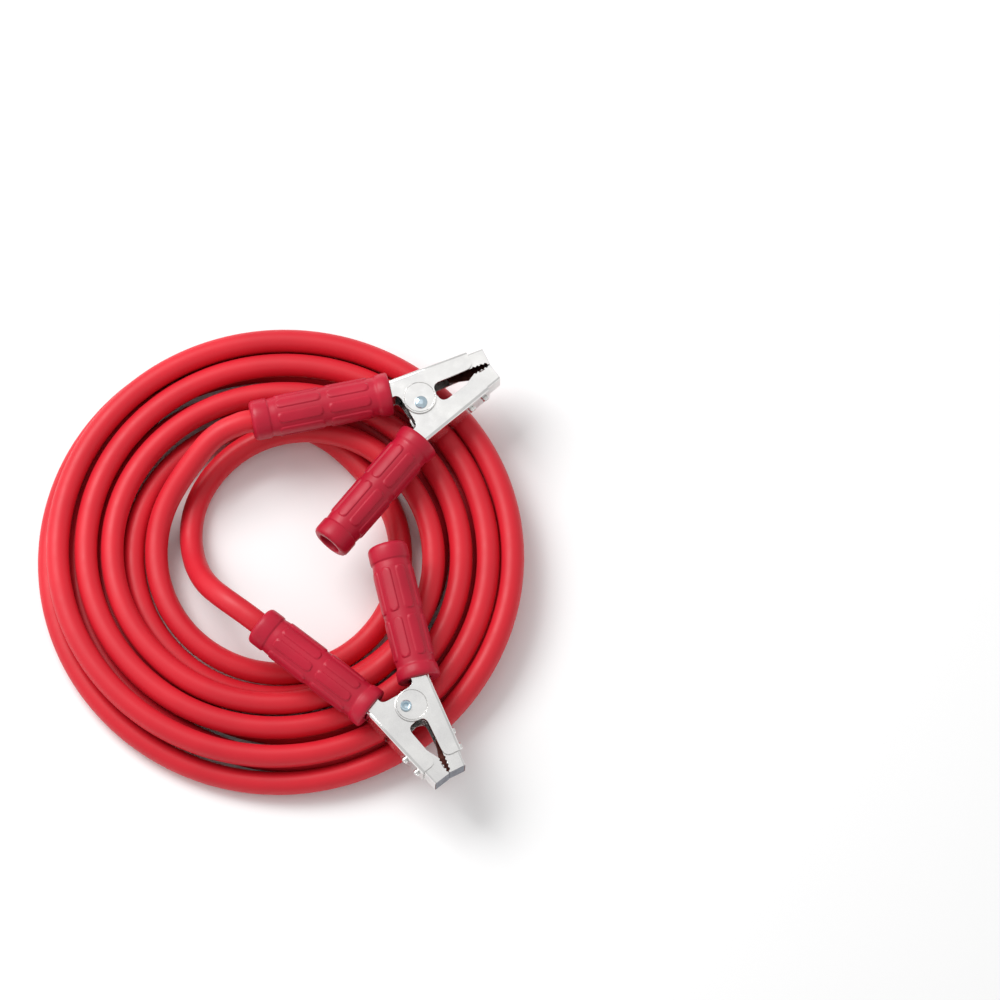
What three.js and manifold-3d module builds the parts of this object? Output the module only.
// A jumper cable: one long lead wound in a round coil, with a spring clamp on each of its ends.
// Millimetres, +Z up. The coil lies on Z = 0 and the clamps lie on the coil.
// The origin is under the middle of the whole part's box.

import * as THREE from 'three';
import { mergeVertices } from 'three/addons/utils/BufferGeometryUtils.js';
import Module from 'manifold-3d';

const wasm = await Module();
wasm.setup();

// Running clearance between pieces that seat on each other
const GAP = 0.3;
const MERGE_DISTANCE = 1e-3;
const CURVE_SEGMENTS = 6;
const Z_AXIS = new THREE.Vector3(0, 0, 1);

// Cable
const CABLE_DIAMETER = 16.5;
const CABLE_RADIUS = CABLE_DIAMETER / 2;
const CABLE_SIDES = 10;

// Coil: two layers of turns, side by side and on top of each other
const COIL_INNER_TURN_RADIUS = 106;
const COIL_PITCH = 20.3;
const COIL_LOWER_TURNS = 4;
const COIL_SEGMENTS = 56;
const COIL_TOP = 2 * CABLE_DIAMETER;

// Sheet steel arms, bent to a channel; each pair nests, one cheek outside and one inside
const SHEET = 1.5;
const CLAMP_HALF_WIDTH = 11.5;
const NEST_STEP = SHEET + GAP;
const ARM_TIP_X = 47.4;
const ARM_TIP_Y = 16.4;
const ARM_MOUTH_TIP_X = 46.3;
const ARM_MOUTH_TIP_Y = 3.7;
const ARM_TIP_ROUND = 6;
const ARM_MOUTH_ROOT_X = 18.6;
const ARM_MOUTH_ROOT_Y = 6.9;
const ARM_BACK_X = -10.6;
const ARM_BACK_Y = 8;
const LOBE_X = 1.3;
const LOBE_Y = 4;
const LOBE_RADIUS = 12;
const LOBE_START = THREE.MathUtils.degToRad(9);
const LOBE_END = THREE.MathUtils.degToRad(195);

// Moulded grips over the arms' tangs
const HANDLE_ANGLE = THREE.MathUtils.degToRad(19.3);
const GRIP_FRONT_X = -13.4;
const GRIP_FRONT_Y = 20.3;
const GRIP_LENGTH = 101.5;
const GRIP_FRONT_COLLAR_LENGTH = 9;
const GRIP_REAR_COLLAR_LENGTH = 12.7;
const GRIP_FRONT_COLLAR_RADIUS = 15.5;
const GRIP_REAR_COLLAR_RADIUS = 14.5;
const GRIP_BODY_RADIUS = 13.9;
const GRIP_NECK_RADIUS = 13.2;
const GRIP_RIM_ROUND = 2.5;
const GRIP_SEGMENTS = 24;
const SHOULDER_HALF_HEIGHT = 6.6;
const SHOULDER_THICKNESS = 2;
const TANG_LENGTH = 62;
const TANG_HALF_HEIGHT = 4;
const TANG_HALF_WIDTH = 6;
const CABLE_IN_GRIP = 10;
const STRAIGHT_OUT = 20;

// Contact jaws riveted inside the arms' tips
const JAW_SHEET = 1.2;
const JAW_REACH = 11.6;
const JAW_INSIDE_ARM = 19;
const JAW_TIP_X = 57.3;
const JAW_EDGE_Y = 5;
const TOOTH_COUNT = 4;
const TOOTH_PITCH = 2.9;
const TOOTH_DEPTH = 1.5;
const RIVET_FROM_TIP = 4.6;
const RIVET_PITCH = 12.4;
const RIVET_HEAD_RADIUS = 2.7;
const RIVET_HEAD_HEIGHT = 2.2;
const RIVET_SHANK_RADIUS = 1.6;
const RIVET_TAIL_HEIGHT = 0.9;
const RIVET_BORE_RADIUS = 1.2;
const RIVET_SIDES = 10;

// Pivot pin and torsion spring
const PIN_RADIUS = 3.2;
const PIN_HEAD_RADIUS = 4.6;
const PIN_TAIL_RADIUS = 4.1;
const PIN_HEAD_HEIGHT = 2.1;
const PIN_TAIL_RECESS = 1.6;
const PIN_SIDES = 20;
const SPRING_WIRE = 2.2;
const SPRING_TURNS = 5;
const SPRING_LEG_SETBACK = 4;

// Where the clamps lie on the coil, from the coil's centre
const CLAMP_1 = { x: 100.2, y: 101.2, turn: 31.2, tilt: 0, flipped: false };
const CLAMP_2 = { x: 89.6, y: -125.3, turn: -57.2, tilt: 3, flipped: true };

// The cable's middle where it lies on the floor, just clear of it
const FLOOR_LEVEL = CABLE_RADIUS + GAP;

// Where the loose stretches of cable run: degrees round the coil's centre, clearance inside its turns,
// and height; the ends in the grips are worked out
const LEAD_1_ROUTE = [
  [139.5, 0.1, 34],
  [158, -1.1, 22.5],
  [180, -0.5, 18],
  [203.7, -0.1, 18],
  [227.5, 0, 17.6],
  [251.7, 0.5, 15.6],
  [274.6, 1.7, 11.8],
  [298.8, 2.2, 9],
  [322.7, 2.8, FLOOR_LEVEL],
  [346.7, 2.8, FLOOR_LEVEL],
  [368, 2.9, FLOOR_LEVEL],
  [388.7, 1.1, FLOOR_LEVEL],
  [407.7, 1, FLOOR_LEVEL],
];
const LEAD_2_ROUTE = [
  [105.7, 1, 13.4],
  [121.7, 6.7, 9.8],
  [139.8, 12.9, FLOOR_LEVEL],
  [157.4, 19.1, FLOOR_LEVEL],
  [174.7, 24.7, 12],
  [193.3, 28.9, 24],
  [212.4, 29.7, 41],
];

const MATERIALS = {
  cable: new THREE.MeshStandardMaterial({ color: '#b3202c', roughness: 0.45, metalness: 0 }),
  grip: new THREE.MeshStandardMaterial({ color: '#a31230', roughness: 0.5, metalness: 0 }),
  arm: new THREE.MeshStandardMaterial({ color: '#d8d8d8', roughness: 0.18, metalness: 1 }),
  jaw: new THREE.MeshStandardMaterial({ color: '#b98560', roughness: 0.3, metalness: 1 }),
  pin: new THREE.MeshStandardMaterial({ color: '#9aa7b0', roughness: 0.25, metalness: 1 }),
  spring: new THREE.MeshStandardMaterial({ color: '#4a4a4c', roughness: 0.4, metalness: 1 }),
};

// Solid modelling helpers

function toSolid(geometry) {
  const bare = geometry.clone();
  bare.deleteAttribute('normal');
  bare.deleteAttribute('uv');
  const merged = mergeVertices(bare, MERGE_DISTANCE);
  const mesh = new wasm.Mesh({
    numProp: 3,
    vertProperties: new Float32Array(merged.getAttribute('position').array),
    triVerts: new Uint32Array(merged.getIndex().array),
  });
  return new wasm.Manifold(mesh);
}

function toGeometry(solid) {
  const mesh = solid.getMesh();
  const geometry = new THREE.BufferGeometry();
  geometry.setAttribute('position', new THREE.BufferAttribute(mesh.vertProperties, 3));
  geometry.setIndex(new THREE.BufferAttribute(mesh.triVerts, 1));
  geometry.computeVertexNormals();
  return geometry;
}

// Points of a path, without the doubles where a curve takes over from a line
function cleanPoints(path) {
  const points = path.getPoints(CURVE_SEGMENTS);
  return points.filter((point, i) => {
    const before = points[(i + points.length - 1) % points.length];
    return point.distanceTo(before) > MERGE_DISTANCE;
  });
}

// A flat plate between two heights
function plate(shape, fromZ, toZ) {
  const clean = new THREE.Shape(cleanPoints(shape));
  clean.holes = shape.holes.map((hole) => new THREE.Path(cleanPoints(hole)));
  const geometry = new THREE.ExtrudeGeometry(clean, { depth: toZ - fromZ, bevelEnabled: false });
  return toSolid(geometry.translate(0, 0, fromZ));
}

function polygon(points) {
  return new THREE.Shape(points.map(([x, y]) => new THREE.Vector2(x, y)));
}

// A piece turned about the Z axis on a lathe, from a profile of [radius, z]
function lathed(profile, segments) {
  const points = profile.map(([radius, z]) => new THREE.Vector2(radius, z));
  return new THREE.LatheGeometry(points, segments).rotateX(Math.PI / 2);
}

// Swing a piece that was turned about Z until its axis runs along a direction in the XY plane
function aimed(geometry, direction) {
  const to = new THREE.Vector3(direction.x, direction.y, 0);
  return geometry.applyQuaternion(new THREE.Quaternion().setFromUnitVectors(Z_AXIS, to));
}

// Directions in the clamp's plane: X runs to the jaw tips, Y to the side of arm A

const handleAlong = new THREE.Vector2(-Math.cos(HANDLE_ANGLE), Math.sin(HANDLE_ANGLE));
const handleAcross = new THREE.Vector2(Math.sin(HANDLE_ANGLE), Math.cos(HANDLE_ANGLE));
const gripFront = new THREE.Vector2(GRIP_FRONT_X, GRIP_FRONT_Y);

function onHandle(along, across) {
  const point = gripFront.clone();
  point.addScaledVector(handleAlong, along);
  point.addScaledVector(handleAcross, across);
  return [point.x, point.y];
}

const shoulderOut = onHandle(-GAP, SHOULDER_HALF_HEIGHT);
const shoulderIn = onHandle(-GAP, -SHOULDER_HALF_HEIGHT);
const armTip = [ARM_TIP_X, ARM_TIP_Y];
const webVector = new THREE.Vector2(armTip[0] - shoulderOut[0], armTip[1] - shoulderOut[1]);
const webLength = webVector.length();
const webAlong = webVector.clone().normalize();
const webAcross = new THREE.Vector2(-webAlong.y, webAlong.x);

// A point beside the web: how far before the arm's tip, and how deep under its outer face
function onWeb(beforeTip, depth) {
  const point = new THREE.Vector2(...armTip);
  point.addScaledVector(webAlong, -beforeTip);
  point.addScaledVector(webAcross, -depth);
  return [point.x, point.y];
}

// Arm A fills the clamp's upper half width and stands one sheet in from its lower one
const armTop = CLAMP_HALF_WIDTH;
const armBottom = -(CLAMP_HALF_WIDTH - NEST_STEP);

function cheekShape() {
  const shape = new THREE.Shape();
  shape.moveTo(...shoulderOut);
  shape.lineTo(...armTip);
  const down = ARM_MOUTH_TIP_Y + ARM_TIP_ROUND;
  const share = (ARM_TIP_Y - down) / (ARM_TIP_Y - ARM_MOUTH_TIP_Y);
  shape.lineTo(ARM_TIP_X - (ARM_TIP_X - ARM_MOUTH_TIP_X) * share, down);
  shape.quadraticCurveTo(ARM_MOUTH_TIP_X, ARM_MOUTH_TIP_Y, ARM_MOUTH_TIP_X - ARM_TIP_ROUND, ARM_MOUTH_TIP_Y + 0.4);
  shape.lineTo(ARM_MOUTH_ROOT_X, ARM_MOUTH_ROOT_Y);
  const lobeX = LOBE_X + LOBE_RADIUS * Math.cos(LOBE_START);
  const lobeY = LOBE_Y + LOBE_RADIUS * Math.sin(LOBE_START);
  shape.quadraticCurveTo((ARM_MOUTH_ROOT_X + lobeX) / 2, ARM_MOUTH_ROOT_Y + 0.3, lobeX, lobeY);
  shape.absarc(LOBE_X, LOBE_Y, LOBE_RADIUS, LOBE_START, LOBE_END, true);
  shape.lineTo(ARM_BACK_X, ARM_BACK_Y);
  shape.quadraticCurveTo(ARM_BACK_X, shoulderIn[1], ...shoulderIn);
  const hole = new THREE.Path();
  hole.absarc(0, 0, PIN_RADIUS + GAP, 0, 2 * Math.PI, false);
  shape.holes.push(hole);
  return shape;
}

// A round hole through the web, square to it, at a rivet's place
function rivetCutter(beforeTip) {
  const [x, y] = onWeb(beforeTip, SHEET);
  const cutter = new THREE.CylinderGeometry(
    RIVET_SHANK_RADIUS + GAP, RIVET_SHANK_RADIUS + GAP, 4 * SHEET + JAW_SHEET, RIVET_SIDES);
  cutter.rotateZ(Math.atan2(webAlong.y, webAlong.x));
  return toSolid(cutter.translate(x, y, 0));
}

const rivetPlaces = [RIVET_FROM_TIP, RIVET_FROM_TIP + RIVET_PITCH];

function armGeometry() {
  const web = polygon([shoulderOut, armTip, onWeb(0, SHEET), onWeb(webLength, SHEET)]);
  const shoulder = polygon([
    onHandle(-GAP, SHOULDER_HALF_HEIGHT),
    onHandle(-GAP, -SHOULDER_HALF_HEIGHT),
    onHandle(-GAP - SHOULDER_THICKNESS, -SHOULDER_HALF_HEIGHT),
    onHandle(-GAP - SHOULDER_THICKNESS, SHOULDER_HALF_HEIGHT),
  ]);
  const tang = polygon([
    onHandle(-GAP - SHOULDER_THICKNESS, TANG_HALF_HEIGHT),
    onHandle(-GAP - SHOULDER_THICKNESS, -TANG_HALF_HEIGHT),
    onHandle(TANG_LENGTH, -TANG_HALF_HEIGHT),
    onHandle(TANG_LENGTH, TANG_HALF_HEIGHT),
  ]);
  let arm = plate(cheekShape(), armTop - SHEET, armTop);
  arm = arm.add(plate(cheekShape(), armBottom, armBottom + SHEET));
  arm = arm.add(plate(web, armBottom, armTop));
  arm = arm.add(plate(shoulder, armBottom, armTop));
  arm = arm.add(plate(tang, -TANG_HALF_WIDTH, TANG_HALF_WIDTH));
  for (const place of rivetPlaces) {
    arm = arm.subtract(rivetCutter(place));
  }
  return toGeometry(arm);
}

// The contact jaw's outline in the clamp's plane: hidden back edge, tip edge, and teeth along the mouth
function jawShape() {
  const depth = SHEET + GAP;
  const outerTip = onWeb(-JAW_REACH, depth);
  const outerBack = onWeb(JAW_INSIDE_ARM, depth);
  const points = [outerBack, outerTip, [JAW_TIP_X, GAP / 2]];
  for (let i = 0; i < TOOTH_COUNT; i += 1) {
    const x = JAW_TIP_X - JAW_SHEET - i * TOOTH_PITCH;
    points.push([x, GAP / 2]);
    points.push([x - TOOTH_PITCH / 2, GAP / 2 + TOOTH_DEPTH]);
  }
  points.push([JAW_TIP_X - JAW_SHEET - TOOTH_COUNT * TOOTH_PITCH, GAP / 2]);
  points.push([ARM_MOUTH_TIP_X - ARM_TIP_ROUND / 2, JAW_EDGE_Y]);
  points.push([outerBack[0], JAW_EDGE_Y + 2]);
  return polygon(points);
}

const jawTop = armTop - SHEET - GAP;
const jawBottom = armBottom + SHEET + GAP;

function jawGeometry() {
  const depth = SHEET + GAP;
  const outerTip = onWeb(-JAW_REACH, depth);
  const web = polygon([
    onWeb(JAW_INSIDE_ARM, depth),
    outerTip,
    onWeb(-JAW_REACH, depth + JAW_SHEET),
    onWeb(JAW_INSIDE_ARM, depth + JAW_SHEET),
  ]);
  const tipWall = polygon([
    outerTip,
    [JAW_TIP_X, GAP / 2],
    [JAW_TIP_X - JAW_SHEET, GAP / 2],
    [outerTip[0] - JAW_SHEET, outerTip[1]],
  ]);
  let jaw = plate(jawShape(), jawTop - JAW_SHEET, jawTop);
  jaw = jaw.add(plate(jawShape(), jawBottom, jawBottom + JAW_SHEET));
  jaw = jaw.add(plate(web, jawBottom, jawTop));
  jaw = jaw.add(plate(tipWall, jawBottom, jawTop));
  for (const place of rivetPlaces) {
    jaw = jaw.subtract(rivetCutter(place));
  }
  return toGeometry(jaw);
}

// A tubular rivet through the arm's web and the contact jaw, with its flanges 0.3 mm off both
function rivetGeometry(beforeTip) {
  const stack = SHEET + GAP + JAW_SHEET;
  const profile = [
    [RIVET_BORE_RADIUS, GAP + RIVET_HEAD_HEIGHT],
    [RIVET_BORE_RADIUS, -stack - GAP - RIVET_TAIL_HEIGHT],
    [RIVET_HEAD_RADIUS, -stack - GAP - RIVET_TAIL_HEIGHT],
    [RIVET_HEAD_RADIUS, -stack - GAP],
    [RIVET_SHANK_RADIUS, -stack - GAP],
    [RIVET_SHANK_RADIUS, GAP],
    [RIVET_HEAD_RADIUS, GAP],
    [RIVET_HEAD_RADIUS, GAP + RIVET_HEAD_HEIGHT],
    [RIVET_BORE_RADIUS, GAP + RIVET_HEAD_HEIGHT],
  ];
  const [x, y] = onWeb(beforeTip, 0);
  return aimed(lathed(profile, RIVET_SIDES), webAcross).translate(x, y, 0);
}

// The grip is a moulded tube: a collar at each end and a round bore right through for tang and cable
function gripGeometry() {
  const bore = CABLE_RADIUS + GAP;
  const rear = GRIP_LENGTH;
  const rearCollar = rear - GRIP_REAR_COLLAR_LENGTH;
  const profile = [
    [bore, 0],
    [GRIP_FRONT_COLLAR_RADIUS - 1, 0],
    [GRIP_FRONT_COLLAR_RADIUS, 1],
    [GRIP_FRONT_COLLAR_RADIUS - 0.5, GRIP_FRONT_COLLAR_LENGTH],
    [GRIP_NECK_RADIUS, GRIP_FRONT_COLLAR_LENGTH + 1.5],
    [GRIP_BODY_RADIUS, GRIP_FRONT_COLLAR_LENGTH + 7],
    [GRIP_BODY_RADIUS, rearCollar - 6],
    [GRIP_NECK_RADIUS, rearCollar - 1],
    [GRIP_REAR_COLLAR_RADIUS, rearCollar],
    [GRIP_REAR_COLLAR_RADIUS, rear - GRIP_RIM_ROUND],
    [GRIP_REAR_COLLAR_RADIUS - 0.7, rear - 0.7],
    [GRIP_REAR_COLLAR_RADIUS - GRIP_RIM_ROUND, rear],
    [bore, rear],
    [bore, 0],
  ];
  return aimed(lathed(profile, GRIP_SEGMENTS), handleAlong).translate(gripFront.x, gripFront.y, 0);
}

// The pivot pin: a domed head above and a smaller, hollowed tail below
function pinGeometry() {
  const seat = CLAMP_HALF_WIDTH + GAP;
  const top = seat + PIN_HEAD_HEIGHT;
  const bottom = -seat - PIN_HEAD_HEIGHT;
  const profile = [
    [0, bottom + PIN_TAIL_RECESS],
    [PIN_TAIL_RADIUS / 2.2, bottom + PIN_TAIL_RECESS],
    [PIN_TAIL_RADIUS / 2, bottom],
    [PIN_TAIL_RADIUS - 0.6, bottom],
    [PIN_TAIL_RADIUS, bottom + 0.6],
    [PIN_TAIL_RADIUS, -seat],
    [PIN_RADIUS, -seat],
    [PIN_RADIUS, seat],
    [PIN_HEAD_RADIUS, seat],
    [PIN_HEAD_RADIUS - 0.2, seat + PIN_HEAD_HEIGHT * 0.35],
    [PIN_HEAD_RADIUS * 0.72, seat + PIN_HEAD_HEIGHT * 0.78],
    [PIN_HEAD_RADIUS * 0.35, top - 0.1],
    [0, top],
  ];
  return lathed(profile, PIN_SIDES);
}

const springInside = PIN_RADIUS + GAP;
const springOutside = springInside + SPRING_WIRE;

// The spring's winding round the pin, with one groove for each turn
function springWinding() {
  const half = SPRING_TURNS * SPRING_WIRE / 2;
  const profile = [[springInside, half], [springInside, -half]];
  for (let i = 0; i < SPRING_TURNS; i += 1) {
    const z = -half + i * SPRING_WIRE;
    profile.push([springOutside - SPRING_WIRE / 3, z]);
    profile.push([springOutside, z + SPRING_WIRE / 3]);
    profile.push([springOutside, z + 2 * SPRING_WIRE / 3]);
  }
  profile.push([springOutside - SPRING_WIRE / 3, half]);
  profile.push([springInside, half]);
  return lathed(profile, 20);
}

// A straight leg of spring wire from beside the winding to the inside of arm A's web
function springLeg(nearWinding, z) {
  const [endX, endY] = onWeb(webLength - SPRING_LEG_SETBACK, SHEET + GAP + SPRING_WIRE / 2);
  const end = new THREE.Vector2(endX, endY);
  const along = end.clone().normalize();
  const length = end.length() - nearWinding;
  const leg = new THREE.CylinderGeometry(SPRING_WIRE / 2, SPRING_WIRE / 2, length, 8);
  leg.rotateZ(Math.atan2(along.y, along.x) - Math.PI / 2);
  const middle = along.multiplyScalar(nearWinding + length / 2);
  return leg.translate(middle.x, middle.y, z);
}

function springGeometry() {
  const z = (SPRING_TURNS - 1) * SPRING_WIRE / 2;
  const winding = toSolid(springWinding());
  return toGeometry(winding.add(toSolid(springLeg(springInside + SPRING_WIRE / 2, z))));
}

// Arm B's own leg starts beside the winding, because it turns with arm B
function springLegGeometry() {
  const z = (SPRING_TURNS - 1) * SPRING_WIRE / 2;
  return springLeg(springOutside + GAP, z);
}

function part(name, geometry, material) {
  const mesh = new THREE.Mesh(geometry, material);
  mesh.name = name;
  return mesh;
}

// One arm with its grip, contact jaw and rivets, laid out on the A side
function armSide(prefix, side) {
  const group = new THREE.Group();
  group.add(part(`${prefix}_arm_${side}`, armGeometry(), MATERIALS.arm));
  group.add(part(`${prefix}_grip_${side}`, gripGeometry(), MATERIALS.grip));
  group.add(part(`${prefix}_jaw_${side}`, jawGeometry(), MATERIALS.jaw));
  rivetPlaces.forEach((place, i) => {
    group.add(part(`${prefix}_rivet_${side}_${i + 1}`, rivetGeometry(place), MATERIALS.pin));
  });
  return group;
}

// A whole clamp about its pivot; arm B is arm A turned over about the mouth's line
function clamp(prefix) {
  const group = new THREE.Group();
  const sideA = armSide(prefix, 'a');
  sideA.add(part(`${prefix}_pivot_pin`, pinGeometry(), MATERIALS.pin));
  sideA.add(part(`${prefix}_spring`, springGeometry(), MATERIALS.spring));
  const sideB = armSide(prefix, 'b');
  sideB.add(part(`${prefix}_spring_leg`, springLegGeometry(), MATERIALS.spring));
  sideB.rotation.x = Math.PI;
  group.add(sideA, sideB);
  return group;
}

// The pivot's height when the front collars of a tilted clamp's grips rest on the coil
function restingHeight(tilt) {
  const collar = GRIP_FRONT_COLLAR_RADIUS * Math.cos(tilt) + GRIP_FRONT_X * Math.sin(tilt);
  return COIL_TOP + GAP + collar;
}

// Lay a clamp on the coil: turned over if it is flipped, tilted about its cross line, then turned
function layClamp(prefix, place) {
  const flip = clamp(prefix);
  flip.rotation.x = place.flipped ? Math.PI : 0;
  const tilted = new THREE.Group();
  tilted.rotation.y = THREE.MathUtils.degToRad(place.tilt);
  tilted.add(flip);
  const turned = new THREE.Group();
  turned.rotation.z = THREE.MathUtils.degToRad(place.turn);
  turned.position.set(place.x, place.y, restingHeight(tilted.rotation.y));
  turned.add(tilted);
  return turned;
}

// A point on grip A's axis of a laid clamp, so far behind the grip's rear face
function behindGrip(laid, distance) {
  const [x, y] = onHandle(GRIP_LENGTH + distance, 0);
  laid.updateMatrixWorld(true);
  return laid.children[0].children[0].localToWorld(new THREE.Vector3(x, y, 0));
}

// The coil's outer shape: a ring with one round back for every turn, the upper turns over the grooves
function coilGeometry() {
  const flat = CABLE_RADIUS * Math.tan(Math.PI / 8);
  const lowerInner = COIL_INNER_TURN_RADIUS;
  const lowerOuter = lowerInner + (COIL_LOWER_TURNS - 1) * COIL_PITCH;
  const upperInner = lowerInner + COIL_PITCH / 2;
  const upperOuter = lowerOuter - COIL_PITCH / 2;
  const profile = [];
  for (let r = lowerInner; r < lowerOuter + 1; r += COIL_PITCH) {
    if (r > lowerInner) {
      profile.push([r - COIL_PITCH / 2, flat]);
    }
    profile.push([r - flat, 0]);
    profile.push([r + flat, 0]);
  }
  profile.push([lowerOuter + CABLE_RADIUS, CABLE_RADIUS - flat]);
  profile.push([lowerOuter + CABLE_RADIUS, CABLE_RADIUS + flat]);
  profile.push([lowerOuter + flat, CABLE_DIAMETER]);
  profile.push([upperOuter + CABLE_RADIUS, CABLE_DIAMETER]);
  profile.push([upperOuter + CABLE_RADIUS, COIL_TOP - CABLE_RADIUS + flat]);
  for (let r = upperOuter; r > upperInner - 1; r -= COIL_PITCH) {
    profile.push([r + flat, COIL_TOP]);
    profile.push([r - flat, COIL_TOP]);
    if (r > upperInner + 1) {
      profile.push([r - COIL_PITCH / 2, COIL_TOP - flat]);
    }
  }
  profile.push([upperInner - CABLE_RADIUS, COIL_TOP - CABLE_RADIUS + flat]);
  profile.push([upperInner - CABLE_RADIUS, CABLE_DIAMETER]);
  profile.push([lowerInner - flat, CABLE_DIAMETER]);
  profile.push([lowerInner - CABLE_RADIUS, CABLE_RADIUS + flat]);
  profile.push([lowerInner - CABLE_RADIUS, CABLE_RADIUS - flat]);
  profile.push(profile[0]);
  return lathed(profile, COIL_SEGMENTS);
}

// A round tube along a route
function leadGeometry(points) {
  const curve = new THREE.CatmullRomCurve3(points, false, 'centripetal');
  const section = [];
  for (let i = 0; i < CABLE_SIDES; i += 1) {
    const angle = 2 * Math.PI * i / CABLE_SIDES;
    section.push([CABLE_RADIUS * Math.cos(angle), CABLE_RADIUS * Math.sin(angle)]);
  }
  const steps = Math.round(curve.getLength() / (2 * CABLE_DIAMETER));
  return new THREE.ExtrudeGeometry(polygon(section), { steps, extrudePath: curve, bevelEnabled: false });
}

const clamp1 = layClamp('clamp_1', CLAMP_1);
const clamp2 = layClamp('clamp_2', CLAMP_2);

// A route's point: the cable's side is so far inside the sides of the coil's innermost turns
function insideCoil([degrees, clearance, height]) {
  const radius = COIL_INNER_TURN_RADIUS - CABLE_DIAMETER - clearance;
  const angle = THREE.MathUtils.degToRad(degrees);
  return new THREE.Vector3(radius * Math.cos(angle), radius * Math.sin(angle), height);
}

const lead1 = [
  behindGrip(clamp1, -CABLE_IN_GRIP),
  behindGrip(clamp1, 0),
  behindGrip(clamp1, STRAIGHT_OUT),
  ...LEAD_1_ROUTE.map(insideCoil),
];
const lead2 = [
  ...LEAD_2_ROUTE.map(insideCoil),
  behindGrip(clamp2, STRAIGHT_OUT),
  behindGrip(clamp2, 0),
  behindGrip(clamp2, -CABLE_IN_GRIP),
];

const jumperCable = new THREE.Group();
jumperCable.name = 'jumper_cable';
jumperCable.add(part('cable_coil', coilGeometry(), MATERIALS.cable));
jumperCable.add(part('cable_lead_1', leadGeometry(lead1), MATERIALS.cable));
jumperCable.add(part('cable_lead_2', leadGeometry(lead2), MATERIALS.cable));
jumperCable.add(clamp1, clamp2);

// Put the origin under the middle of the whole part
const box = new THREE.Box3().setFromObject(jumperCable, true);
const middle = box.getCenter(new THREE.Vector3());
jumperCable.position.set(-middle.x, -middle.y, -box.min.z);

export default jumperCable;
